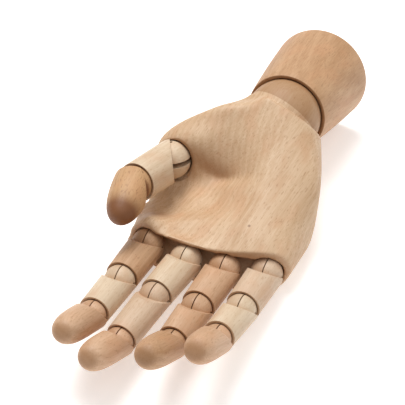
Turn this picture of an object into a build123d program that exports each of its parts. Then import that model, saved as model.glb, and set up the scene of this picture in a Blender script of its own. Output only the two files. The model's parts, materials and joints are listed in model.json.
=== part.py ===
# Wooden hand mannequin: a right hand lying palm up, with a short flared forearm.
# Each turned wooden piece hinges on a flat tongue and a steel cross pin at the centre of a wooden ball.
# Millimetres. +Z is up, the fingers point to -Y, the thumb is on -X, and the hand lies on Z = 0.
import os
from collections import namedtuple
from math import cos, radians, sin, sqrt
from build123d import *

os.makedirs("parts", exist_ok=True)

# Finger stock, radius at each joint
knuckle_radius = 7.0
middle_joint_radius = 6.5
end_joint_radius = 6.0
fingertip_radius = 4.65
fingertip_fullness = 0.72

# Thumb stock
thumb_root_radius = 8.35
thumb_joint_radius = 8.0
thumb_tip_radius = 4.95
thumb_tip_fullness = 0.58
thumb_proximal_length = 27.1
thumb_tip_length = 18.0

# Ball and cup of every finger and thumb joint
ball_inset = 0.7
cup_gap = 0.55
rim_setback = 2.2
knuckle_rim_setback = 0.3
back_gap = 1.0
shoulder_angle = 54.0
edge_break = 0.25

# Hinge tongue and cross pin, and how far the cup's rim is behind the pin
Hinge = namedtuple("Hinge", "thickness width length pin_radius rim_setback")
finger_tongue_thickness = 0.35
finger_tongue_width = 4.0
finger_tongue_length = 12.5
finger_pin_radius = 0.8
thumb_tongue_thickness = 2.0
thumb_tongue_width = 5.0
thumb_tongue_length = 16.0
thumb_pin_radius = 1.0
kerf_gap = 0.05
kerf_swing_room = 0.9
running_gap = 0.05
glue_gap = 0.02
pin_recess = 1.0
pin_chamfer = 0.2

# Knuckle line: an arc in plan, with the middle finger at its front
knuckle_arc_radius = 80.0
knuckle_height = 9.1
knuckle_pitch = 9.5
Finger = namedtuple("Finger", "name across yaw pitch middle_bend end_bend proximal middle tip")
fingers = (
    Finger("index", -24.5, 1.8, 8.0, 2.0, 20.0, 25.3, 23.3, 21.0),
    Finger("middle", -7.4, -2.8, 6.0, -3.0, 26.0, 25.1, 25.9, 19.4),
    Finger("ring", 8.0, 0.5, 7.5, 0.0, 28.0, 26.1, 21.5, 21.1),
    Finger("little", 23.4, 0.0, 9.0, 7.0, 18.0, 24.9, 22.6, 17.8),
)

# Thumb: where its cup's rim is from the knuckle line, and which way its two pieces point
thumb_across = -30.7
thumb_back = 39.7
thumb_lift = 12.1
thumb_yaw = -8.5
thumb_pitch = 13.6
thumb_hinge_lean = 15.0
thumb_tip_yaw = 11.6
thumb_tip_pitch = 4.5

# Forearm and wrist
wrist_radius = 16.75
forearm_end_radius = 21.0
forearm_length = 42.0
forearm_tilt = 11.3
forearm_across = 2.5
wrist_back = 76.3
wrist_setback = 4.0
wrist_ball_inset = 1.25
wrist_cup_gap = 0.9
wrist_back_gap = 1.4
wrist_shoulder_angle = 46.0
wrist_hinge_turn = 20.0
forearm_edge_break = 0.8
forearm_bulge = 0.3

# Wrist hardware
eye_thickness = 4.0
eye_width = 10.0
wrist_pin_radius = 2.0
wrist_pin_recess = 3.0
wrist_kerf_gap = 0.3
wrist_flexion_room = 42.0
wrist_extension_room = 8.0
collar_radius = 5.6
collar_thickness = 2.0
collar_room = 0.6
bolt_radius = 3.0
spring_pocket_radius = 8.5
spring_pocket_depth = 17.0
plug_thickness = 5.0
washer_radius = 6.5
washer_thickness = 1.2
disc_spring_thickness = 0.8
disc_spring_rise = 0.5
nut_across_flats = 10.0
nut_thickness = 5.0

# Where the knuckle line's middle lies from the centre of the whole hand's outline
knuckle_line_x = 5.2
knuckle_line_y = -24.5

# Palm block: wall round the knuckles' balls, room for the finger ends, where the palm's crests run,
# and how far the palm rises above and dips below the heel's radius just before the wrist
knuckle_wall = 0.6
knuckle_seat_gap = 0.35
cove_step = 0.1
thumb_rim_gap = 0.8
little_crest_place = 0.45
outline_points = 28
front_overhang = 6.0
heel_overhang = 9.0
heel_radius = wrist_radius - edge_break
heel_crown = 0.3
heel_dip = 0.9
Section = namedtuple(
    "Section",
    "along left right side back thumb_top thumb_place hollow hollow_place little_top squareness",
)
palm_sections = (
    Section(4.0, -33.2, 31.6, -0.8, -10.2, 7.4, -0.7, 7.6, -0.3, 8.0, 8.0),
    Section(14.0, -34.6, 32.2, -3.0, -12.2, 2.8, -0.7, 4.8, -0.3, 9.0, 5.5),
    Section(22.0, -35.6, 32.5, -6.5, -12.9, -3.0, -0.7, 1.4, -0.3, 9.4, 4.6),
    Section(30.0, -36.2, 32.3, -8.0, -13.4, -6.5, -0.74, -1.4, -0.36, 9.9, 4.0),
    Section(36.0, -37.0, 31.7, -5.4, -13.7, -3.6, -0.72, -2.6, -0.38, 10.3, 3.65),
    Section(40.0, -38.6, 31.1, -2.8, -14.0, 3.6, -0.66, -1.6, -0.24, 10.8, 3.4),
    Section(44.0, -40.0, 30.4, -0.3, -14.3, 9.4, -0.6, 3.4, -0.12, 11.4, 3.15),
    Section(50.0, -38.8, 28.8, 1.0, -14.8, 12.8, -0.6, 8.0, -0.08, 12.5, 2.9),
    Section(58.0, -32.8, 26.0, 0.8, -15.5, 15.4, -0.65, 12.2, -0.15, 14.4, 2.6),
    Section(
        66.0,
        -23.6,
        22.8,
        0.3,
        heel_crown - heel_radius,
        heel_radius + heel_crown,
        -0.7,
        heel_radius - heel_dip,
        -0.3,
        heel_radius - heel_crown,
        2.3,
    ),
)
front_squareness = 9.0


def direction(yaw, pitch):
    """Unit vector towards the fingertips, turned by yaw to +X and raised by pitch."""
    y, p = radians(yaw), radians(pitch)
    return Vector(sin(y) * cos(p), -cos(y) * cos(p), sin(p))


def hinge_frame(center, along, flex_axis):
    """Plane at a joint: local Z along the piece, local X to the side it bends to, local Y the hinge axis."""
    return Plane(origin=center, x_dir=flex_axis.cross(along), z_dir=along)


def side_plane(frame):
    """Sketch plane through a joint, square to its hinge axis: X to the bending side, Y along the piece."""
    return Plane(origin=frame.origin, x_dir=frame.x_dir, z_dir=-frame.y_dir)


def at(frame, x=0.0, y=0.0, z=0.0):
    """Location at a point given in a joint's own frame."""
    return frame.location * Pos(x, y, z)


def save(piece, name):
    piece.part.label = name
    export_step(piece.part, f"parts/{name}.step")


# Hinge helpers, each working on the piece that is being built
def add_ball(frame, radius, angle, hinge):
    """Slanted shoulder, ball, saw kerf and pin hole at the root of a piece."""
    ball_radius = radius - ball_inset
    slope = radians(angle)
    outward = frame.x_dir * sin(slope) - frame.z_dir * cos(slope)
    with Locations(Plane(origin=frame.origin, x_dir=frame.y_dir, z_dir=outward).location):
        Box(
            4 * radius,
            6 * radius,
            4 * radius,
            align=(Align.CENTER, Align.CENTER, Align.MIN),
            mode=Mode.SUBTRACT,
        )
    with Locations(frame.location):
        Sphere(ball_radius)
    low = -hinge.width / 2 - kerf_swing_room
    high = radius + edge_break
    front = ball_radius * sin(slope)
    rear = -radius
    with Locations(at(frame, (low + high) / 2, 0, (front + rear) / 2)):
        Box(high - low, hinge.thickness + 2 * kerf_gap, front - rear, mode=Mode.SUBTRACT)
    with Locations(frame.location * Rot(X=90)):
        Cylinder(hinge.pin_radius + glue_gap, 3 * radius, mode=Mode.SUBTRACT)


def cut_cup(frame, radius, hinge, mode=Mode.SUBTRACT):
    """Round cup at the far end of a piece, with the pocket that its tongue is glued into."""
    with Locations(frame.location):
        Sphere(radius - ball_inset + cup_gap, mode=mode)
    with Locations(at(frame, z=-hinge.length / 2)):
        Box(
            hinge.width + 2 * glue_gap,
            hinge.thickness + 2 * glue_gap,
            hinge.length + 2 * glue_gap,
            mode=mode,
        )


def cut_room(frame, radius, length, hinge, mode=Mode.SUBTRACT):
    """Round room in front of a cup's rim, for the end of the piece that turns there."""
    with Locations(at(frame, z=-hinge.rim_setback)):
        Cylinder(radius, length, align=(Align.CENTER, Align.CENTER, Align.MIN), mode=mode)


def make_tongue(frame, hinge, name):
    """Flat link with a round eye at the pin, its length in the pocket behind."""
    with BuildPart() as tongue:
        with BuildSketch(side_plane(frame)):
            with Locations((0, -hinge.length / 2)):
                Rectangle(hinge.width, hinge.length)
            Circle(hinge.width / 2)
            Circle(hinge.pin_radius + running_gap, mode=Mode.SUBTRACT)
        extrude(amount=hinge.thickness / 2, both=True)
    save(tongue, name)


def make_pin(frame, radius, half_length, name):
    with BuildPart() as pin:
        with Locations(frame.location * Rot(X=90)):
            Cylinder(radius, 2 * half_length)
        chamfer(pin.edges().filter_by(GeomType.CIRCLE), pin_chamfer)
    save(pin, name)


def make_piece(frame, radius, far_frame, far_radius, hinge, far_hinge, name):
    """Turned piece between two joints: ball at its root, cup at its far end."""
    start = back_gap - hinge.rim_setback
    end = (far_frame.origin - frame.origin).length - far_hinge.rim_setback
    with BuildPart() as piece:
        with BuildSketch(side_plane(frame)):
            with BuildLine():
                Polyline(
                    (0, start),
                    (radius - edge_break, start),
                    (radius, start + edge_break),
                    (far_radius, end - edge_break),
                    (far_radius - edge_break, end),
                    (0, end),
                    close=True,
                )
            make_face()
        revolve(axis=Axis(frame.origin, frame.z_dir))
        add_ball(frame, radius, shoulder_angle, hinge)
        cut_cup(far_frame, far_radius, far_hinge)
    save(piece, name)


def make_tip(frame, radius, length, end_radius, fullness, hinge, name):
    """Turned tip: ball at its root, rounded end like a bullet."""
    start = back_gap - hinge.rim_setback
    end = length + end_radius
    rise = (end - start) * fullness
    with BuildPart() as piece:
        with BuildSketch(side_plane(frame)):
            with BuildLine():
                Polyline((0, end), (0, start), (radius - edge_break, start), (radius, start + edge_break))
                Bezier(
                    (radius, start + edge_break),
                    (radius, start + rise),
                    (end_radius * 2 * fullness, end),
                    (0, end),
                )
            make_face()
        revolve(axis=Axis(frame.origin, frame.z_dir))
        add_ball(frame, radius, shoulder_angle, hinge)
    save(piece, name)


# Joint places
finger_tongue = (finger_tongue_thickness, finger_tongue_width, finger_tongue_length, finger_pin_radius)
thumb_tongue = (thumb_tongue_thickness, thumb_tongue_width, thumb_tongue_length, thumb_pin_radius)
knuckle_hinge = Hinge(*finger_tongue, knuckle_rim_setback)
finger_hinge = Hinge(*finger_tongue, rim_setback)
thumb_hinge = Hinge(*thumb_tongue, rim_setback)
knuckle_middle = Vector(knuckle_line_x, knuckle_line_y, knuckle_height)
front_finger = fingers[1]
arc_center = knuckle_middle + Vector(front_finger.across, knuckle_arc_radius, 0)
arc_axis_direction = direction(0, knuckle_pitch + 90)


def knuckle_center(across):
    """Centre of a knuckle's ball: on the arc in plan, level with the others."""
    from_front = across - front_finger.across
    return arc_center + Vector(from_front, -sqrt(knuckle_arc_radius**2 - from_front**2), 0)


def finger_frames(finger):
    """Frames of a finger's three pieces at their roots, and of the three cups that they sit in."""
    axis = Vector(-cos(radians(finger.yaw)), -sin(radians(finger.yaw)), 0)
    pitches = (
        finger.pitch,
        finger.pitch + finger.middle_bend,
        finger.pitch + finger.middle_bend + finger.end_bend,
    )
    along = [direction(finger.yaw, pitch) for pitch in pitches]
    knuckle = knuckle_center(finger.across)
    middle_joint = knuckle + along[0] * finger.proximal
    end_joint = middle_joint + along[1] * finger.middle
    centers = (knuckle, middle_joint, end_joint)
    roots = [hinge_frame(center, way, axis) for center, way in zip(centers, along)]
    cup_ways = [direction(finger.yaw, knuckle_pitch), along[0], along[1]]
    cups = [hinge_frame(center, way, axis) for center, way in zip(centers, cup_ways)]
    return roots, cups


thumb_way = direction(thumb_yaw, thumb_pitch)
thumb_tip_way = direction(thumb_tip_yaw, thumb_tip_pitch)
thumb_upright = direction(thumb_yaw, thumb_pitch + 90)
thumb_sideways = thumb_way.cross(thumb_upright)
lean = radians(thumb_hinge_lean)
thumb_root_axis = thumb_upright * cos(lean) + thumb_sideways * sin(lean)
thumb_root_center = knuckle_middle + Vector(thumb_across, thumb_back, thumb_lift) + thumb_way * rim_setback
thumb_joint_center = thumb_root_center + thumb_way * thumb_proximal_length
thumb_joint_axis = thumb_way.cross(thumb_tip_way).normalized()
thumb_root = hinge_frame(thumb_root_center, thumb_way, thumb_root_axis)
thumb_joint_cup = hinge_frame(thumb_joint_center, thumb_way, thumb_joint_axis)
thumb_joint = hinge_frame(thumb_joint_center, thumb_tip_way, thumb_joint_axis)

# Forearm axis runs from its flat end up to the hand, with the end's lowest point on the ground
forearm_way = direction(0, forearm_tilt)
forearm_upright = direction(0, forearm_tilt + 90)
tilt = radians(forearm_tilt)
wrist_rim_height = forearm_end_radius * cos(tilt) + (forearm_length - forearm_edge_break) * sin(tilt)
wrist_rim = Vector(knuckle_line_x + forearm_across, knuckle_line_y + wrist_back, wrist_rim_height)
wrist_center = wrist_rim + forearm_way * wrist_setback
forearm_end = wrist_rim - forearm_way * forearm_length
turn = radians(wrist_hinge_turn)
wrist_opening_way = Vector(1, 0, 0) * sin(turn) + forearm_upright * cos(turn)
wrist_axis = forearm_way.cross(wrist_opening_way)
wrist = hinge_frame(wrist_center, forearm_way, wrist_axis)
wrist_ball_radius = wrist_radius - wrist_ball_inset
wrist_cup_radius = wrist_ball_radius + wrist_cup_gap

# Fingers
for finger in fingers:
    roots, cups = finger_frames(finger)
    radii = (knuckle_radius, middle_joint_radius, end_joint_radius)
    piece_names = (f"{finger.name}_proximal", f"{finger.name}_middle", f"{finger.name}_tip")
    joint_names = (f"{finger.name}_knuckle", f"{finger.name}_middle_joint", f"{finger.name}_end_joint")
    hinges = (knuckle_hinge, finger_hinge, finger_hinge)
    for i in (0, 1):
        make_piece(roots[i], radii[i], cups[i + 1], radii[i + 1], hinges[i], hinges[i + 1], piece_names[i])
    make_tip(roots[2], radii[2], finger.tip, fingertip_radius, fingertip_fullness, hinges[2], piece_names[2])
    for root, cup, radius, hinge, joint_name in zip(roots, cups, radii, hinges, joint_names):
        make_tongue(cup, hinge, f"{joint_name}_tongue")
        make_pin(root, hinge.pin_radius, radius - ball_inset - pin_recess, f"{joint_name}_pin")

# Thumb
make_piece(
    thumb_root,
    thumb_root_radius,
    thumb_joint_cup,
    thumb_joint_radius,
    thumb_hinge,
    finger_hinge,
    "thumb_proximal",
)
make_tip(
    thumb_joint,
    thumb_joint_radius,
    thumb_tip_length,
    thumb_tip_radius,
    thumb_tip_fullness,
    finger_hinge,
    "thumb_tip",
)
make_tongue(thumb_root, thumb_hinge, "thumb_root_tongue")
make_pin(thumb_root, thumb_hinge.pin_radius, thumb_root_radius - ball_inset - pin_recess, "thumb_root_pin")
make_tongue(thumb_joint_cup, finger_hinge, "thumb_joint_tongue")
make_pin(thumb_joint, finger_hinge.pin_radius, thumb_joint_radius - ball_inset - pin_recess, "thumb_joint_pin")

# Palm: carved block lofted through cross-sections that run square to the line from knuckles to wrist
palm_line = wrist_center - knuckle_middle
palm_length = sqrt(palm_line.Y**2 + palm_line.Z**2)
palm_back_way = Vector(0, palm_line.Y, palm_line.Z).normalized()
front_radius = knuckle_radius + knuckle_wall
front_left = fingers[0].across - front_radius
front_right = fingers[-1].across + front_radius
heel_left = forearm_across - heel_radius
heel_right = forearm_across + heel_radius


def round_section(along, left, right, radius, squareness):
    """Section of even thickness, for the two ends of the palm."""
    first = palm_sections[0]
    return Section(
        along,
        left,
        right,
        0.0,
        -radius,
        radius,
        first.thumb_place,
        radius,
        first.hollow_place,
        radius,
        squareness,
    )


sections = (
    round_section(-front_overhang, front_left, front_right, front_radius, front_squareness),
    *palm_sections,
    round_section(palm_length, heel_left, heel_right, heel_radius, 2.0),
    round_section(palm_length + heel_overhang, heel_left, heel_right, heel_radius, 2.0),
)


def ease(low, high, share):
    """Smooth step from low to high."""
    share = min(max(share, 0.0), 1.0)
    return low + (high - low) * share * share * (3 - 2 * share)


def palm_top(section, place):
    """Height of the palm's surface across the hand, from -1 at the thumb's side to 1 at the little finger's."""
    if place < section.hollow_place:
        share = (place - section.thumb_place) / (section.hollow_place - section.thumb_place)
        return ease(section.thumb_top, section.hollow, share)
    share = (place - section.hollow_place) / (little_crest_place - section.hollow_place)
    return ease(section.hollow, section.little_top, share)


def section_points(section):
    """Closed outline of one cross-section: round at both sides, with a top that follows the palm's surface."""
    middle = (section.left + section.right) / 2
    half = (section.right - section.left) / 2
    points = []
    for i in range(outline_points):
        angle = radians(360 * i / outline_points)
        place = cos(angle)
        reach = sqrt(1 - abs(place) ** section.squareness)
        limit = palm_top(section, place) if sin(angle) > 0 else section.back
        points.append((middle + half * place, section.side + (limit - section.side) * reach))
    return points


# Hollows in the palm: a cove along the knuckle arc, the fingers' cups in it, and the thumb's cup
cove_radius = knuckle_radius - ball_inset + cup_gap - cove_step
first_knuckle = knuckle_center(fingers[0].across)
last_knuckle = knuckle_center(fingers[-1].across)
first_radial = (first_knuckle - arc_center).normalized()
cove_turn = first_radial.get_angle(last_knuckle - arc_center)
cove_plane = Plane(origin=first_knuckle, x_dir=first_radial, z_dir=arc_axis_direction.cross(first_radial))
with BuildPart() as hollows:
    with BuildSketch(cove_plane):
        Circle(cove_radius)
    revolve(axis=Axis(arc_center, arc_axis_direction), revolution_arc=cove_turn)
    for finger in fingers:
        roots, cups = finger_frames(finger)
        cut_room(cups[0], knuckle_radius + knuckle_seat_gap, finger.proximal, knuckle_hinge, Mode.ADD)
        cut_cup(cups[0], knuckle_radius, knuckle_hinge, Mode.ADD)
    cut_room(thumb_root, thumb_root_radius + thumb_rim_gap, 3 * thumb_proximal_length, thumb_hinge, Mode.ADD)
    cut_cup(thumb_root, thumb_root_radius, thumb_hinge, Mode.ADD)

with BuildPart() as palm:
    for section in sections:
        origin = knuckle_middle + palm_back_way * section.along
        with BuildSketch(Plane(origin=origin, x_dir=(1, 0, 0), z_dir=-palm_back_way)):
            with BuildLine():
                Spline(*section_points(section), periodic=True)
            make_face()
    loft()
    # Front face follows the knuckle arc
    with Locations(Plane(origin=arc_center, z_dir=arc_axis_direction).location):
        Cylinder(knuckle_arc_radius - knuckle_rim_setback, 4 * knuckle_arc_radius, mode=Mode.INTERSECT)
    add(hollows.part, mode=Mode.SUBTRACT)
    # Heel: flush behind the wrist's groove on the back, cut to a slanted shoulder on the palm side
    with Locations(at(wrist, 0, 0, wrist_back_gap - wrist_setback)):
        Box(
            6 * wrist_radius,
            6 * wrist_radius,
            4 * wrist_radius,
            align=(Align.CENTER, Align.CENTER, Align.MAX),
            mode=Mode.SUBTRACT,
        )
    slope = radians(wrist_shoulder_angle)
    shoulder_way = wrist.x_dir * sin(slope) - wrist.z_dir * cos(slope)
    with Locations(Plane(origin=wrist_center, x_dir=wrist.y_dir, z_dir=shoulder_way).location):
        Box(
            6 * wrist_radius,
            6 * wrist_radius,
            4 * wrist_radius,
            align=(Align.CENTER, Align.CENTER, Align.MIN),
            mode=Mode.SUBTRACT,
        )
    with Locations(wrist.location):
        Sphere(wrist_ball_radius)
    # Slot that the eye swings in, hidden inside the forearm's cup
    slot_reach = 1.5 * wrist_radius
    slot_width = eye_width + 2 * wrist_kerf_gap
    with BuildSketch(side_plane(wrist)):
        Circle(slot_width / 2)
        for swing in (-wrist_extension_room, wrist_flexion_room):
            with Locations(Location((0, 0, 0), (0, 0, swing))):
                Rectangle(slot_width, slot_reach, align=(Align.CENTER, Align.MAX))
        with BuildLine():
            sweep_arc = CenterArc(
                (0, 0), slot_reach, 270 - wrist_extension_room, wrist_flexion_room + wrist_extension_room
            )
            Polyline(sweep_arc @ 1, (0, 0), sweep_arc @ 0)
        make_face()
    extrude(amount=eye_thickness / 2 + wrist_kerf_gap, both=True, mode=Mode.SUBTRACT)
    with Locations(wrist.location * Rot(X=90)):
        Cylinder(wrist_pin_radius + glue_gap, 4 * wrist_radius, mode=Mode.SUBTRACT)
save(palm, "palm")
make_pin(wrist, wrist_pin_radius, wrist_ball_radius - wrist_pin_recess, "wrist_pin")

# Heights along the forearm's axis, from the wrist's centre: the hand is above, the flat end below
rim_level = -wrist_setback
end_level = rim_level - forearm_length
collar_top = -wrist_cup_radius - collar_room
collar_seat = collar_top - collar_thickness - running_gap
pocket_floor = end_level + spring_pocket_depth
washer_top = pocket_floor - running_gap
spring_top = washer_top - washer_thickness
spring_height = disc_spring_thickness + disc_spring_rise
nut_top = spring_top - 2 * spring_height - running_gap
bolt_end = nut_top - nut_thickness - bolt_radius / 2

# Forearm: turned and flared, with the wrist's cup, the bolt's hole and the spring pocket
with BuildPart() as forearm:
    with BuildSketch(side_plane(wrist)):
        with BuildLine():
            Polyline(
                (wrist_radius, rim_level),
                (0, rim_level),
                (0, end_level),
                (forearm_end_radius - forearm_edge_break, end_level),
                (forearm_end_radius, end_level + forearm_edge_break),
            )
            ThreePointArc(
                (forearm_end_radius, end_level + forearm_edge_break),
                ((forearm_end_radius + wrist_radius) / 2 + forearm_bulge, (end_level + rim_level) / 2),
                (wrist_radius, rim_level),
            )
        make_face()
    revolve(axis=Axis(wrist_center, forearm_way))
    with Locations(wrist.location):
        Sphere(wrist_cup_radius, mode=Mode.SUBTRACT)
    with Locations(at(wrist, z=collar_seat)):
        Cylinder(
            collar_radius + collar_room,
            -collar_seat,
            align=(Align.CENTER, Align.CENTER, Align.MIN),
            mode=Mode.SUBTRACT,
        )
    with Locations(at(wrist, z=end_level)):
        Cylinder(
            bolt_radius + running_gap,
            collar_seat - end_level,
            align=(Align.CENTER, Align.CENTER, Align.MIN),
            mode=Mode.SUBTRACT,
        )
        Cylinder(
            spring_pocket_radius,
            spring_pocket_depth,
            align=(Align.CENTER, Align.CENTER, Align.MIN),
            mode=Mode.SUBTRACT,
        )
save(forearm, "forearm")

# Wooden plug that closes the spring pocket, flush with the flat end
with BuildPart() as plug:
    with Locations(at(wrist, z=end_level)):
        Cylinder(
            spring_pocket_radius - glue_gap, plug_thickness, align=(Align.CENTER, Align.CENTER, Align.MIN)
        )
save(plug, "forearm_plug")

# Eye bolt: flat eye on the wrist pin, collar that turns on its seat, plain shank to the nut
with BuildPart() as eye_bolt:
    with BuildSketch(side_plane(wrist)):
        with Locations((0, collar_top / 2)):
            Rectangle(eye_width, -collar_top)
        Circle(eye_width / 2)
        Circle(wrist_pin_radius + running_gap, mode=Mode.SUBTRACT)
    extrude(amount=eye_thickness / 2, both=True)
    with Locations(at(wrist, z=collar_top)):
        Cylinder(collar_radius, collar_thickness, align=(Align.CENTER, Align.CENTER, Align.MAX))
        Cylinder(bolt_radius, collar_top - bolt_end, align=(Align.CENTER, Align.CENTER, Align.MAX))
save(eye_bolt, "wrist_eye_bolt")

with BuildPart() as washer:
    with Locations(at(wrist, z=washer_top)):
        Cylinder(washer_radius, washer_thickness, align=(Align.CENTER, Align.CENTER, Align.MAX))
        Cylinder(
            bolt_radius + running_gap,
            washer_thickness,
            align=(Align.CENTER, Align.CENTER, Align.MAX),
            mode=Mode.SUBTRACT,
        )
save(washer, "wrist_washer")

# Two disc springs, set rim to rim so that they press the washer and the nut apart
spring_hole = bolt_radius + running_gap
spring_middle = spring_top - spring_height
with BuildPart() as disc_springs:
    for side in (-1, 1):
        near = spring_middle + side * running_gap / 2
        far = spring_middle + side * spring_height
        with BuildSketch(side_plane(wrist)):
            with BuildLine():
                Polyline(
                    (washer_radius, near),
                    (washer_radius, near + side * disc_spring_thickness),
                    (spring_hole, far),
                    (spring_hole, far - side * disc_spring_thickness),
                    close=True,
                )
            make_face()
    revolve(axis=Axis(wrist_center, forearm_way))
save(disc_springs, "wrist_disc_springs")

with BuildPart() as nut:
    with BuildSketch(Plane(origin=at(wrist, z=nut_top).position, x_dir=wrist.x_dir, z_dir=-wrist.z_dir)):
        RegularPolygon(nut_across_flats / 2, 6, major_radius=False)
        Circle(bolt_radius + glue_gap, mode=Mode.SUBTRACT)
    extrude(amount=nut_thickness)
save(nut, "wrist_nut")
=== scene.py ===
import json
from math import asin, cos, pi, radians, sin, sqrt

import bmesh
import bpy
from mathutils import Matrix, Vector


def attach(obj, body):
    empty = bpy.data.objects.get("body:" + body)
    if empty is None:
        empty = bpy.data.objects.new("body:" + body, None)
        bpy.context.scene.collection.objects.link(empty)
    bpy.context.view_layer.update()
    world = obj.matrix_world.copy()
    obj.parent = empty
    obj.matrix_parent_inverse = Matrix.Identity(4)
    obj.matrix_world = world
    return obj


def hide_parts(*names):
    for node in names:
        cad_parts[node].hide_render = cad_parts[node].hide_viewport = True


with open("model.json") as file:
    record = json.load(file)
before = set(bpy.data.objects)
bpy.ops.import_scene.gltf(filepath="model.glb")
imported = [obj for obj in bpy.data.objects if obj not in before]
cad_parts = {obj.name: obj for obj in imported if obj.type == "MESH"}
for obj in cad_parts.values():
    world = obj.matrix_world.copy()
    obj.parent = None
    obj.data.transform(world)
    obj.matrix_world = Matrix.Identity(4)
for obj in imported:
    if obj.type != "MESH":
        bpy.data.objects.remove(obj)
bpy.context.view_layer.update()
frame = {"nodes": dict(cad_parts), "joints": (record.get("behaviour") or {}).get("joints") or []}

# Forearm: a short flared stub, turned from one piece of beech on a lathe.
# Its cup holds the wrist's ball. A bored hole takes the bolt, and a pocket in the flat end its springs.
MM = 0.001
WRIST_RADIUS = 16.75
WRIST_CUP_RADIUS = 15.75
WRIST_LIP = 0.9
FOREARM_RIM = -4.0
FOREARM_END = -46.0
FOREARM_END_RADIUS = 21.0
FOREARM_EDGE = 0.8
FOREARM_BULGE = 0.3
FOREARM_WOOD = ("#C9A27C", "#AC815A", "#966B46")
FOREARM_PITH = (26.0, -14.0)
COLLAR_BORE = 6.2
COLLAR_SEAT = -19.05
BOLT_BORE = 3.05
POCKET_RADIUS = 8.5
POCKET_FLOOR = -29.0
EDGE_ROUND = 0.25
ROUND_STEPS = 3
TURN_STEPS = 96
ARC_POINTS = 24
FLANK_POINTS = 12
SHARP_ANGLE = radians(32)
MERGE = 0.0005
joints = {joint["name"]: joint for joint in frame["joints"]}


def joint_center(joint_name):
    return Vector(joints[joint_name]["pos_m"])


def joint_place(joint_name, along):
    """Frame at a joint: Z runs along the piece, Y is the hinge's axis and X the side it bends to."""
    hinge_axis = Vector(joints[joint_name]["axis"]).normalized()
    along = along.normalized()
    turn = Matrix((hinge_axis.cross(along), hinge_axis, along)).transposed().to_4x4()
    return Matrix.Translation(joint_center(joint_name)) @ turn


def arc(radius, low_angle, high_angle, points=ARC_POINTS):
    """Points (radius, height) of a circle about the origin, between two angles above the horizontal."""
    angles = [low_angle + (high_angle - low_angle) * step / points for step in range(points + 1)]
    return [(radius * cos(angle), radius * sin(angle)) for angle in angles]


def turned(profile):
    """Shape that a lathe makes: a line of (radius, height) points spun about Z."""
    shape = bmesh.new()
    dots = [shape.verts.new((radius, 0, height)) for radius, height in profile]
    lines = [shape.edges.new(pair) for pair in zip(dots, dots[1:])]
    bmesh.ops.spin(
        shape,
        geom=dots + lines,
        cent=(0, 0, 0),
        axis=(0, 0, 1),
        angle=2 * pi,
        steps=TURN_STEPS,
        use_merge=True,
    )
    bmesh.ops.remove_doubles(shape, verts=shape.verts, dist=MERGE)
    bmesh.ops.recalc_face_normals(shape, faces=shape.faces)
    return shape


def soften(shape, width=EDGE_ROUND):
    """Rounds every sharp edge, as sandpaper does."""
    sharp = [edge for edge in shape.edges if edge.calc_face_angle(0) > SHARP_ANGLE]
    bmesh.ops.bevel(
        shape,
        geom=sharp,
        offset=width,
        offset_type="OFFSET",
        segments=ROUND_STEPS,
        profile=0.5,
        affect="EDGES",
        material=-1,
        clamp_overlap=True,
    )


def hex_color(code):
    """sRGB hex value as linear red, green, blue and alpha."""
    parts = [int(code[place : place + 2], 16) / 255 for place in (1, 3, 5)]
    linear = [part / 12.92 if part <= 0.04045 else ((part + 0.055) / 1.055) ** 2.4 for part in parts]
    return (*linear, 1.0)


def add_node(tree, kind, inputs, **settings):
    """Adds a node with its settings, and sets or links its inputs."""
    node = tree.nodes.new(kind)
    for name, value in settings.items():
        setattr(node, name, value)
    for name, value in inputs.items():
        if isinstance(value, bpy.types.NodeSocket):
            tree.links.new(value, node.inputs[name])
        else:
            node.inputs[name].default_value = value
    return node


# Beech, sanded and waxed: straight fibres run along the piece between faint growth rings,
# with short darker ray flecks and pinker patches, and it is browner where the fibres end in the surface.
# The wax leaves a soft, broad shine. Fibres and flecks are drawn a little coarse, so that they show.
RING_SPACING = 2.4
RING_STRETCH = (1.0, 1.0, 0.12)
RING_WANDER = {"Distortion": 7.0, "Detail": 3.0, "Detail Scale": 0.5, "Detail Roughness": 0.6}
WAVE_TURN = 2 * pi / 20
FIBRE_SIZE = (0.55, 0.55, 16.0)
FLECK_SIZE = (0.5, 0.5, 2.2)
CLOUD_SIZE = (7.0, 7.0, 26.0)
BLUSH_SIZE = (9.0, 9.0, 14.0)
FIGURE_ROUGHNESS = 0.55
LENGTHWISE_SHIFT = 3
RING_WEIGHT = 0.14
FIBRE_WEIGHT = 0.7
CLOUD_WEIGHT = 0.8
TONE_BAND = (0.5, 1.15)
GRAIN_RELIEF = 0.05
RELIEF_STRENGTH = 0.35
BEECH_IOR = 1.5
BEECH_ROUGHNESS = (0.48, 0.64)
FIBRE_BAND = (0.3, 0.7)
BLUSH = "#C9946C"
BLUSH_BAND = (0.45, 0.68, 0.30)
FLECK_BAND = (0.58, 0.72, 0.42)
END_BAND = (0.45, 1.0, 0.72)
ZONE_EDGE = 0.3
KNOT_CORE = 0.25
KNOT_COVER = 0.8
# Sockets of a node that mixes two colours
MIX_SHARE = 0
MIX_FIRST = 6
MIX_SECOND = 7
MIX_RESULT = 2


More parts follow.
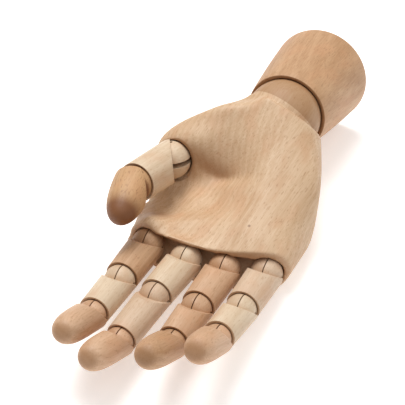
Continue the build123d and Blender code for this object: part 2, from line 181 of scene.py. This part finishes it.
def beech(name, place, light, dark, end_grain, pith, end_band=END_BAND, zone=None, knot=None):
    """Waxed beech with its fibres along a piece's own Z. The tree's centre lies pith millimetres aside.
    The end band says how far a surface faces along the fibres where end grain begins and where it is
    full, and then how much it covers. A zone is a browner part of the surface: two ways that it lies
    towards, seen from the joint, with its cover and colour. A knot is its place, radius and colour."""
    material = bpy.data.materials.new(f"waxed_beech_{name}")
    material.use_nodes = True
    tree = material.node_tree
    tree.nodes.clear()
    coordinates = add_node(tree, "ShaderNodeTexCoord", {}).outputs
    to_piece = place.inverted()
    in_piece = add_node(
        tree,
        "ShaderNodeMapping",
        {
            "Vector": coordinates["Object"],
            "Location": to_piece.translation,
            "Rotation": to_piece.to_euler(),
        },
    ).outputs["Vector"]

    # Each piece comes from its own place in the tree, so no two have the same figure
    from_pith = [side * MM for side in (*pith, LENGTHWISE_SHIFT * pith[0])]
    in_tree = add_node(tree, "ShaderNodeVectorMath", {0: in_piece, 1: from_pith}).outputs["Vector"]

    # Noise drawn out along the fibres: fine fibres, short flecks, broad clouds and pinker patches
    drawn_out = {}
    for kind, size, detail in (
        ("fibre", FIBRE_SIZE, 3.0),
        ("fleck", FLECK_SIZE, 1.0),
        ("cloud", CLOUD_SIZE, 2.0),
        ("blush", BLUSH_SIZE, 2.0),
    ):
        scaled = add_node(
            tree,
            "ShaderNodeVectorMath",
            {0: in_tree, 1: [1 / (length * MM) for length in size]},
            operation="MULTIPLY",
        ).outputs["Vector"]
        drawn_out[kind] = add_node(
            tree,
            "ShaderNodeTexNoise",
            {"Vector": scaled, "Scale": 1.0, "Detail": detail, "Roughness": FIGURE_ROUGHNESS},
        ).outputs["Fac"]
    slow_along = add_node(
        tree, "ShaderNodeVectorMath", {0: in_tree, 1: RING_STRETCH}, operation="MULTIPLY"
    ).outputs["Vector"]
    rings = add_node(
        tree,
        "ShaderNodeTexWave",
        {"Vector": slow_along, "Scale": WAVE_TURN / (RING_SPACING * MM), **RING_WANDER},
        wave_type="RINGS",
        rings_direction="Z",
        wave_profile="SIN",
    ).outputs["Fac"]

    # How dark the wood is: rings, fibres and clouds added up
    tone = add_node(
        tree, "ShaderNodeMath", {0: rings, 1: RING_WEIGHT}, operation="MULTIPLY"
    ).outputs["Value"]
    for kind, weight in (("fibre", FIBRE_WEIGHT), ("cloud", CLOUD_WEIGHT)):
        tone = add_node(
            tree,
            "ShaderNodeMath",
            {0: drawn_out[kind], 1: weight, 2: tone},
            operation="MULTIPLY_ADD",
        ).outputs["Value"]
    tone = add_node(
        tree,
        "ShaderNodeMapRange",
        {"Value": tone, "From Min": TONE_BAND[0], "From Max": TONE_BAND[1]},
    ).outputs["Result"]
    color = add_node(
        tree,
        "ShaderNodeMix",
        {MIX_SHARE: tone, MIX_FIRST: hex_color(light), MIX_SECOND: hex_color(dark)},
        data_type="RGBA",
    ).outputs[MIX_RESULT]

    # Patches laid over it: a value, where the patch begins and is full, how much it covers, its colour
    across = add_node(
        tree,
        "ShaderNodeVectorMath",
        {0: coordinates["Normal"], 1: place.to_3x3().col[2]},
        operation="DOT_PRODUCT",
    ).outputs["Value"]
    across = add_node(tree, "ShaderNodeMath", {0: across}, operation="ABSOLUTE").outputs["Value"]
    patches = [
        (drawn_out["blush"], *BLUSH_BAND, BLUSH),
        (drawn_out["fleck"], *FLECK_BAND, end_grain),
        (across, *end_band, end_grain),
    ]
    if zone:
        ways, zone_cover, zone_color = zone
        inside = []
        for way in ways:
            reach = add_node(
                tree, "ShaderNodeVectorMath", {0: in_piece, 1: way}, operation="DOT_PRODUCT"
            ).outputs["Value"]
            past_edge = add_node(
                tree,
                "ShaderNodeMapRange",
                {"Value": reach, "From Min": 0.0, "From Max": ZONE_EDGE * MM},
            ).outputs["Result"]
            inside.append(past_edge)
        within = add_node(
            tree, "ShaderNodeMath", {0: inside[0], 1: inside[1]}, operation="MULTIPLY"
        ).outputs["Value"]
        patches.append((within, 0.0, 1.0, zone_cover, zone_color))
    if knot:
        knot_place, knot_radius, knot_color = knot
        away = add_node(
            tree, "ShaderNodeVectorMath", {0: coordinates["Object"], 1: knot_place}, operation="DISTANCE"
        ).outputs["Value"]
        patches.append(
            (away, knot_radius * MM, KNOT_CORE * knot_radius * MM, KNOT_COVER, knot_color)
        )
    for value, low, high, cover, patch_color in patches:
        share = add_node(
            tree,
            "ShaderNodeMapRange",
            {"Value": value, "From Min": low, "From Max": high, "To Max": cover},
            interpolation_type="SMOOTHSTEP",
        ).outputs["Result"]
        color = add_node(
            tree,
            "ShaderNodeMix",
            {MIX_SHARE: share, MIX_FIRST: color, MIX_SECOND: hex_color(patch_color)},
            data_type="RGBA",
        ).outputs[MIX_RESULT]

    # Fibres give the shine and the surface their fine streaks
    roughness = add_node(
        tree,
        "ShaderNodeMapRange",
        {
            "Value": drawn_out["fibre"],
            "From Min": FIBRE_BAND[0],
            "From Max": FIBRE_BAND[1],
            "To Min": BEECH_ROUGHNESS[0],
            "To Max": BEECH_ROUGHNESS[1],
        },
    ).outputs["Result"]
    relief = add_node(
        tree,
        "ShaderNodeBump",
        {"Height": drawn_out["fibre"], "Strength": RELIEF_STRENGTH, "Distance": GRAIN_RELIEF * MM},
    ).outputs["Normal"]
    shader = add_node(
        tree,
        "ShaderNodeBsdfPrincipled",
        {"Base Color": color, "Roughness": roughness, "IOR": BEECH_IOR, "Normal": relief},
    ).outputs["BSDF"]
    add_node(tree, "ShaderNodeOutputMaterial", {"Surface": shader})
    return material


def put_in_place(name, mesh, material, body, slot, *nodes):
    """Makes a finished mesh a piece that rides on a body and stands for CAD nodes."""
    mesh.shade_smooth()
    mesh.set_sharp_from_angle(angle=SHARP_ANGLE)
    mesh.materials.append(material)
    piece = bpy.data.objects.new(name, mesh)
    bpy.context.scene.collection.objects.link(piece)
    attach(piece, body)
    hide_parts(*nodes)


def placed_mesh(name, shape, place):
    """Mesh of a shape worked in millimetres, set in its place in metres."""
    mesh = bpy.data.meshes.new(name)
    shape.to_mesh(mesh)
    shape.free()
    mesh.transform(place @ Matrix.Scale(MM, 4))
    return mesh


forearm_place = joint_place("wrist_bend", Vector(joints["wrist_twist"]["axis"]))
flank_length = FOREARM_RIM - FOREARM_END - FOREARM_EDGE
flank = []
for step in range(FLANK_POINTS + 1):
    share = step / FLANK_POINTS
    straight = WRIST_RADIUS + (FOREARM_END_RADIUS - WRIST_RADIUS) * share
    swell = FOREARM_BULGE * 4 * share * (1 - share)
    flank.append((straight + swell, FOREARM_RIM - flank_length * share))
cup_floor = -asin(sqrt(1 - (COLLAR_BORE / WRIST_CUP_RADIUS) ** 2))
cup_mouth = asin((FOREARM_RIM - WRIST_LIP) / WRIST_CUP_RADIUS)
mouth_radius = sqrt(WRIST_CUP_RADIUS**2 - FOREARM_RIM**2)
forearm_profile = [
    *flank,
    (FOREARM_END_RADIUS - FOREARM_EDGE, FOREARM_END),
    (POCKET_RADIUS, FOREARM_END),
    (POCKET_RADIUS, POCKET_FLOOR),
    (BOLT_BORE, POCKET_FLOOR),
    (BOLT_BORE, COLLAR_SEAT),
    (COLLAR_BORE, COLLAR_SEAT),
    *arc(WRIST_CUP_RADIUS, cup_floor, cup_mouth),
    (mouth_radius + WRIST_LIP, FOREARM_RIM),
    flank[0],
]
forearm_shape = turned(forearm_profile)
soften(forearm_shape)
put_in_place(
    "forearm_wood",
    placed_mesh("forearm_wood", forearm_shape, forearm_place),
    beech("forearm", forearm_place, *FOREARM_WOOD, pith=FOREARM_PITH),
    "forearm",
    "forearm_wood",
    "forearm",
)

# Plug: a short beech dowel glued into the spring pocket, flush with the forearm's flat end.
# A thin line shows where it meets the forearm.
PLUG_RADIUS = 8.48
PLUG_THICKNESS = 5.0
PLUG_WOOD = ("#C79E72", "#A67B50", "#9C7048")
PLUG_PITH = (4.0, 3.0)
plug_inner_face = FOREARM_END + PLUG_THICKNESS
plug_shape = turned(
    [(0, FOREARM_END), (PLUG_RADIUS, FOREARM_END), (PLUG_RADIUS, plug_inner_face), (0, plug_inner_face)]
)
soften(plug_shape)
put_in_place(
    "forearm_plug_wood",
    placed_mesh("forearm_plug_wood", plug_shape, forearm_place),
    beech("plug", forearm_place, *PLUG_WOOD, pith=PLUG_PITH),
    "forearm",
    "brown_wood",
    "forearm_plug",
)

# Palm: one block of beech, carved and sanded by hand, with cups for four fingers and the thumb.
# Its heel ends in the wrist's ball, with painted shade making the ball browner past a slanted line. Its
# edges are sanded round.
SANDING_GRID = 0.5
SANDING_PASSES = 7
SANDING_STRENGTH = 0.5
PALM_WOOD = ("#D9BC9B", "#BE9872", "#A0714A")
PALM_PITH = (-46.0, 22.0)
# Painted shade on the wrist's ball: past a line slanted by this angle, the ball is painted browner, so
# its edge against the pale heel reads as an arc.
PAINTED_SHADE_ANGLE = radians(37)
PAINTED_SHADE_COVER = 0.62
PAINTED_SHADE_COLOR = "#986B40"
KNOT_PLACE = (17.8, -10.25, 22.3)
KNOT_RADIUS = 0.9
KNOT_COLOR = "#7A5230"
palm_copy = bmesh.new()
palm_copy.from_mesh(frame["nodes"]["palm"].data)
bmesh.ops.remove_doubles(palm_copy, verts=palm_copy.verts, dist=MERGE * MM)
palm_mesh = bpy.data.meshes.new("palm_block")
palm_copy.to_mesh(palm_mesh)
palm_copy.free()
palm_block = bpy.data.objects.new("palm_block", palm_mesh)
bpy.context.scene.collection.objects.link(palm_block)
remesh = palm_block.modifiers.new("carve", "REMESH")
remesh.mode = "VOXEL"
remesh.voxel_size = SANDING_GRID * MM
sanding = palm_block.modifiers.new("sand", "SMOOTH")
sanding.factor = SANDING_STRENGTH
sanding.iterations = SANDING_PASSES
carved_palm = bmesh.new()
carved_palm.from_object(palm_block, bpy.context.evaluated_depsgraph_get())
bpy.data.objects.remove(palm_block)
palm_wood_mesh = bpy.data.meshes.new("palm_wood")
carved_palm.to_mesh(palm_wood_mesh)
carved_palm.free()
knuckle_middle = joint_center("middle_knuckle_bend")
wrist_center = joint_center("wrist_bend")
palm_place = joint_place("wrist_bend", knuckle_middle - wrist_center)
to_palm = palm_place.to_3x3().inverted() @ forearm_place.to_3x3()
# Ways that bound the painted shade on the wrist's ball, seen from the wrist's joint
painted_shade_way = Vector((sin(PAINTED_SHADE_ANGLE), 0.0, -cos(PAINTED_SHADE_ANGLE)))
painted_shade_ways = (to_palm @ painted_shade_way, to_palm @ Vector((1.0, 0.0, 0.0)))
put_in_place(
    "palm_wood",
    palm_wood_mesh,
    beech(
        "palm",
        palm_place,
        *PALM_WOOD,
        pith=PALM_PITH,
        zone=(painted_shade_ways, PAINTED_SHADE_COVER, PAINTED_SHADE_COLOR),
        knot=(Vector(KNOT_PLACE) * MM, KNOT_RADIUS, KNOT_COLOR),
    ),
    "palm",
    "palm_wood",
    "palm",
)

# Finger pieces: twelve short lengths of beech dowel, turned to a slight taper on a lathe.
# Each has a ball at its root, sawn for a steel tongue, and a round cup at its far end; tips are rounded.
KNUCKLE_RADIUS = 7.0
MIDDLE_JOINT_RADIUS = 6.5
END_JOINT_RADIUS = 6.0
FINGERTIP_RADIUS = 4.65
FINGERTIP_FULLNESS = 0.72
BALL_INSET = 0.7
CUP_GAP = 0.15
CUP_LIP = 0.5
RIM_SETBACK = 2.2
KNUCKLE_SETBACK = 0.3
BACK_GAP = 1.0
SHOULDER_ANGLE = radians(54)
SHOULDER_SETBACK = 0.03
FINGER_KERF = 0.45
FINGER_SLOT_BACK = 2.9
FINGER_PIN_RADIUS = 0.82
PIN_HOLE_DEPTH = 1.4
TIP_POINTS = 28
shoulder_way = (sin(SHOULDER_ANGLE), 0.0, -cos(SHOULDER_ANGLE))


def combine(base, tool, operation):
    """Boolean of two closed shapes, as a new shape."""
    blocks = []
    for shape in (base, tool):
        mesh = bpy.data.meshes.new("work")
        shape.to_mesh(mesh)
        shape.free()
        block = bpy.data.objects.new("work", mesh)
        bpy.context.scene.collection.objects.link(block)
        blocks.append(block)
    cut = blocks[0].modifiers.new("cut", "BOOLEAN")
    cut.object = blocks[1]
    cut.operation = operation
    cut.solver = "MANIFOLD"
    result = bmesh.new()
    result.from_object(blocks[0], bpy.context.evaluated_depsgraph_get())
    for block in blocks:
        bpy.data.objects.remove(block)
    return result


def piece_profile(radius, start, far_radius, length, far_setback):
    """Turned outline of a piece from its flat root to the cup at its far end."""
    end = length - far_setback
    cup_radius = far_radius - BALL_INSET + CUP_GAP
    mouth = -asin((far_setback + CUP_LIP) / cup_radius)
    lip_radius = sqrt(cup_radius**2 - far_setback**2) + CUP_LIP
    cup = [(across, length + height) for across, height in arc(cup_radius, mouth, -pi / 2)]
    return [(0, start), (radius, start), (far_radius, end), (lip_radius, end), *cup]


def tip_profile(radius, start, end_radius, fullness, end):
    """Turned outline of a tip from its flat root to its rounded end."""
    rise = (end - start) * fullness
    pulls = ((radius, start), (radius, start + rise), (2 * end_radius * fullness, end), (0, end))
    outline = [(0, start)]
    for step in range(TIP_POINTS + 1):
        gone = step / TIP_POINTS
        left = 1 - gone
        weights = (left**3, 3 * gone * left**2, 3 * gone * gone * left, gone**3)
        outline.append(
            tuple(sum(weight * pull[side] for weight, pull in zip(weights, pulls)) for side in (0, 1))
        )
    return outline


def hinged_piece(profile, radius, kerf, slot_back, pin_radius):
    """Turned body cut to a slanted shoulder, joined to its ball, with pin holes and the saw kerf."""
    body = turned(profile)
    bmesh.ops.bisect_plane(
        body,
        geom=body.verts[:] + body.edges[:] + body.faces[:],
        plane_co=(0, 0, SHOULDER_SETBACK),
        plane_no=shoulder_way,
        clear_outer=True,
    )
    bmesh.ops.holes_fill(body, edges=[edge for edge in body.edges if edge.is_boundary])
    soften(body)
    # A face of many corners would leave stray slivers where the ball joins it
    bmesh.ops.triangulate(body, faces=[face for face in body.faces if len(face.verts) > 4])
    ball_radius = radius - BALL_INSET
    hole_angle = pi / 2 - asin(pin_radius / ball_radius)
    hole_floor = ball_radius - PIN_HOLE_DEPTH
    ball = turned(
        [
            (0, -hole_floor),
            (pin_radius, -hole_floor),
            *arc(ball_radius, -hole_angle, hole_angle, 2 * ARC_POINTS),
            (pin_radius, hole_floor),
            (0, hole_floor),
        ]
    )
    bmesh.ops.rotate(ball, verts=ball.verts, cent=(0, 0, 0), matrix=Matrix.Rotation(pi / 2, 3, "X"))
    joined = combine(body, ball, "UNION")
    front = ball_radius * sin(SHOULDER_ANGLE)
    slot_size = Vector((slot_back + 2 * radius, kerf, front + 2 * radius))
    slot_center = Vector((radius - slot_back / 2, 0, front / 2 - radius))
    slot_place = Matrix.Translation(slot_center) @ Matrix.Diagonal((*slot_size, 1))
    saw = bmesh.new()
    bmesh.ops.create_cube(saw, size=1.0, matrix=slot_place)
    return combine(joined, saw, "DIFFERENCE")


def farthest_point(node, start):
    """Point of a CAD node that is farthest from start."""
    points = (vertex.co for vertex in frame["nodes"][node].data.vertices)
    return max(points, key=lambda point: (point - start).length)


PALE = ("#DFCBB1", "#CBB090", "#B89573")
ROSY = ("#D7BFA5", "#C4A587", "#B18C6C")
WARM = ("#D5B191", "#BC9370", "#A27650")
BROWN = ("#CBA582", "#AF855F", "#956A45")
finger_woods = {
    "index": (BROWN, PALE, WARM),
    "middle": (PALE, ROSY, WARM),
    "ring": (WARM, WARM, BROWN),
    "little": (ROSY, PALE, WARM),
}
slot_names = {PALE: "pale_wood", ROSY: "pale_wood", WARM: "warm_wood", BROWN: "brown_wood"}
FIRST_PITH = (11.0, 14.0)
PITH_PER_FINGER = 5.0
PITH_PER_ROW = -9.0
DARK_HALF_COVER = 0.45
dark_half = (shoulder_way, (0.0, 1.0, 0.0))
knuckle_start = BACK_GAP - KNUCKLE_SETBACK
joint_start = BACK_GAP - RIM_SETBACK
parts = ("proximal", "middle", "tip")
bends = ("knuckle", "middle", "end")
radii = (KNUCKLE_RADIUS, MIDDLE_JOINT_RADIUS, END_JOINT_RADIUS)
for number, (finger, woods) in enumerate(finger_woods.items()):
    knuckle = joint_center(f"{finger}_knuckle_bend")
    middle_joint = joint_center(f"{finger}_middle_bend")
    end_joint = joint_center(f"{finger}_end_bend")
    fingertip = farthest_point(f"{finger}_tip", end_joint)
    runs = (middle_joint - knuckle, end_joint - middle_joint, fingertip - end_joint)
    lengths = [run.length / MM for run in runs]
    profiles = (
        piece_profile(KNUCKLE_RADIUS, knuckle_start, MIDDLE_JOINT_RADIUS, lengths[0], RIM_SETBACK),
        piece_profile(MIDDLE_JOINT_RADIUS, joint_start, END_JOINT_RADIUS, lengths[1], RIM_SETBACK),
        tip_profile(END_JOINT_RADIUS, joint_start, FINGERTIP_RADIUS, FINGERTIP_FULLNESS, lengths[2]),
    )
    for row, (part, bend, run, profile, radius, wood) in enumerate(
        zip(parts, bends, runs, profiles, radii, woods)
    ):
        node = f"{finger}_{part}"
        place = joint_place(f"{finger}_{bend}_bend", run)
        shape = hinged_piece(profile, radius, FINGER_KERF, FINGER_SLOT_BACK, FINGER_PIN_RADIUS)
        pith = (FIRST_PITH[0] + PITH_PER_FINGER * number, FIRST_PITH[1] + PITH_PER_ROW * row)
        put_in_place(
            f"{node}_wood",
            placed_mesh(f"{node}_wood", shape, place),
            beech(node, place, *wood, pith=pith, zone=(dark_half, DARK_HALF_COVER, wood[-1])),
            node,
            slot_names[wood],
            node,
        )

# Thumb: two stouter turned pieces of beech. The lower one hinges on a thick tongue of brown beech,
# glued into the palm. The bent tip is painted dark brown round its point: its end grain, and painted
# shade where it turns from the light.
THUMB_ROOT_RADIUS = 8.35
THUMB_JOINT_RADIUS = 8.0
THUMB_TIP_RADIUS = 4.95
THUMB_TIP_FULLNESS = 0.58
THUMB_KERF = 2.1
THUMB_SLOT_BACK = 3.4
THUMB_PIN_RADIUS = 1.02
THUMB_PITH = (19.0, -8.0)
THUMB_TONGUE_WOOD = ("#B98A5C", "#9A6A40", "#8A5A33")
THUMB_TONGUE_PITH = (12.0, 6.0)
# The tip's end-grain colour is extra dark, and its wide end band lays it round the point: partly end
# grain, partly painted shade.
THUMB_TIP_WOOD = ("#CDA57A", "#B2865A", "#7C4C28")
THUMB_TIP_PITH = (9.0, 12.0)
THUMB_END_GRAIN_AND_SHADE = (0.14, 0.42, 0.97)
thumb_root = joint_center("thumb_root_bend")
thumb_joint = joint_center("thumb_end_bend")
thumb_run = thumb_joint - thumb_root
thumb_tip_run = farthest_point("thumb_tip", thumb_joint) - thumb_joint
thumb_place = joint_place("thumb_root_bend", thumb_run)
thumb_profile = piece_profile(
    THUMB_ROOT_RADIUS, joint_start, THUMB_JOINT_RADIUS, thumb_run.length / MM, RIM_SETBACK
)
thumb_shape = hinged_piece(
    thumb_profile, THUMB_ROOT_RADIUS, THUMB_KERF, THUMB_SLOT_BACK, THUMB_PIN_RADIUS
)
put_in_place(
    "thumb_proximal_wood",
    placed_mesh("thumb_proximal_wood", thumb_shape, thumb_place),
    beech("thumb_proximal", thumb_place, *PALE, pith=THUMB_PITH),
    "thumb_proximal",
    "pale_wood",
    "thumb_proximal",
)
thumb_tongue_mesh = frame["nodes"]["thumb_root_tongue"].data
thumb_tongue_mesh.materials.clear()
thumb_tongue_mesh.materials.append(
    beech("thumb_tongue", thumb_place, *THUMB_TONGUE_WOOD, pith=THUMB_TONGUE_PITH)
)
thumb_tip_place = joint_place("thumb_end_bend", thumb_tip_run)
thumb_tip_profile = tip_profile(
    THUMB_JOINT_RADIUS, joint_start, THUMB_TIP_RADIUS, THUMB_TIP_FULLNESS, thumb_tip_run.length / MM
)
thumb_tip_shape = hinged_piece(
    thumb_tip_profile, THUMB_JOINT_RADIUS, FINGER_KERF, FINGER_SLOT_BACK, FINGER_PIN_RADIUS
)
put_in_place(
    "thumb_tip_wood",
    placed_mesh("thumb_tip_wood", thumb_tip_shape, thumb_tip_place),
    beech(
        "thumb_tip", thumb_tip_place, *THUMB_TIP_WOOD, pith=THUMB_TIP_PITH, end_band=THUMB_END_GRAIN_AND_SHADE
    ),
    "thumb_tip",
    "warm_wood",
    "thumb_tip",
)

# Hinge and wrist hardware: stamped finger tongues, drawn pins, eye bolt, washer, disc springs and nut.
# All are plain bright steel, hidden in the wood apart from an edge in a kerf or a pin's end in its hole.
# Drawing the steel leaves fine scratches, which streak its colour and its shine.
SCRATCH_SIZE = (0.15, 0.15, 6.0)
SCRATCH_DETAIL = 2.0
STEEL_LIGHT = "#C9C7C3"
STEEL_DARK = "#9C9893"
STEEL_ROUGHNESS = (0.25, 0.45)
steel = bpy.data.materials.new("drawn_steel")
steel.use_nodes = True
steel_tree = steel.node_tree
steel_tree.nodes.clear()
steel_coordinates = add_node(steel_tree, "ShaderNodeTexCoord", {}).outputs["Object"]
drawn_along = add_node(
    steel_tree,
    "ShaderNodeVectorMath",
    {0: steel_coordinates, 1: [1 / (length * MM) for length in SCRATCH_SIZE]},
    operation="MULTIPLY",
).outputs["Vector"]
steel_scratches = add_node(
    steel_tree,
    "ShaderNodeTexNoise",
    {"Vector": drawn_along, "Scale": 1.0, "Detail": SCRATCH_DETAIL},
).outputs["Fac"]
steel_color = add_node(
    steel_tree,
    "ShaderNodeMix",
    {
        MIX_SHARE: steel_scratches,
        MIX_FIRST: hex_color(STEEL_LIGHT),
        MIX_SECOND: hex_color(STEEL_DARK),
    },
    data_type="RGBA",
).outputs[MIX_RESULT]
steel_roughness = add_node(
    steel_tree,
    "ShaderNodeMapRange",
    {"Value": steel_scratches, "To Min": STEEL_ROUGHNESS[0], "To Max": STEEL_ROUGHNESS[1]},
).outputs["Result"]
steel_shader = add_node(
    steel_tree,
    "ShaderNodeBsdfPrincipled",
    {"Base Color": steel_color, "Metallic": 1.0, "Roughness": steel_roughness},
).outputs["BSDF"]
add_node(steel_tree, "ShaderNodeOutputMaterial", {"Surface": steel_shader})
steel_ends = ("_tongue", "_pin", "_bolt", "_washer", "_springs", "_nut")
for node_name, node in frame["nodes"].items():
    if node_name.endswith(steel_ends) and node_name != "thumb_root_tongue":
        node.data.materials.clear()
        node.data.materials.append(steel)

# Floor, light and camera: a sheet of white paper under soft window light from behind and to the left,
# with a weak fill light from the right. The camera stands past the fingertips, as in the photograph.
FLOOR_SIZE = 6.0
WHITE = "#FFFFFF"
PAPER_COLOR = "#FBF9F8"
PAPER_ROUGHNESS = 0.9
PAPER_GLOW = 0.36
SKY_STRENGTH = 0.34
floor_shape = bmesh.new()
bmesh.ops.create_grid(floor_shape, x_segments=2, y_segments=2, size=FLOOR_SIZE / 2)
floor_mesh = bpy.data.meshes.new("floor")
floor_shape.to_mesh(floor_mesh)
floor_shape.free()
white_paper = bpy.data.materials.new("white_paper")
white_paper.use_nodes = True
paper_shader = white_paper.node_tree.nodes["Principled BSDF"]
paper_shader.inputs["Base Color"].default_value = hex_color(PAPER_COLOR)
paper_shader.inputs["Roughness"].default_value = PAPER_ROUGHNESS
paper_shader.inputs["Emission Color"].default_value = hex_color(WHITE)
paper_shader.inputs["Emission Strength"].default_value = PAPER_GLOW
floor_mesh.materials.append(white_paper)
floor = bpy.data.objects.new("floor", floor_mesh)
bpy.context.scene.collection.objects.link(floor)

world = bpy.data.worlds.new("studio")
world.use_nodes = True
sky = world.node_tree.nodes["Background"]
sky.inputs["Color"].default_value = hex_color(WHITE)
sky.inputs["Strength"].default_value = SKY_STRENGTH
bpy.context.scene.world = world
for light_name, place, size, power in (
    ("window", (-0.33, 0.34, 1.2), 0.75, 15.0),
    ("fill", (0.6, -0.3, 1.1), 1.0, 3.0),
):
    light = bpy.data.lights.new(light_name, "AREA")
    light.shape = "SQUARE"
    light.size = size
    light.energy = power
    lamp = bpy.data.objects.new(light_name, light)
    lamp.location = place
    lamp.rotation_euler = (-Vector(place)).to_track_quat("-Z", "Y").to_euler()
    bpy.context.scene.collection.objects.link(lamp)

CAMERA_PLACE = (0.14883, -0.33897, 0.35718)
CAMERA_AZIMUTH = radians(24.6)
CAMERA_ELEVATION = radians(42.4)
SENSOR = 36.0
LENS = 114.26
backward = Vector(
    (
        sin(CAMERA_AZIMUTH) * cos(CAMERA_ELEVATION),
        -cos(CAMERA_AZIMUTH) * cos(CAMERA_ELEVATION),
        sin(CAMERA_ELEVATION),
    )
)
camera = bpy.data.objects.new("camera", bpy.data.cameras.new("camera"))
camera.data.sensor_width = SENSOR
camera.data.lens = LENS
camera.location = CAMERA_PLACE
camera.rotation_euler = (-backward).to_track_quat("-Z", "Y").to_euler()
bpy.context.scene.collection.objects.link(camera)
bpy.context.scene.camera = camera
bpy.context.scene.view_settings.view_transform = "Standard"
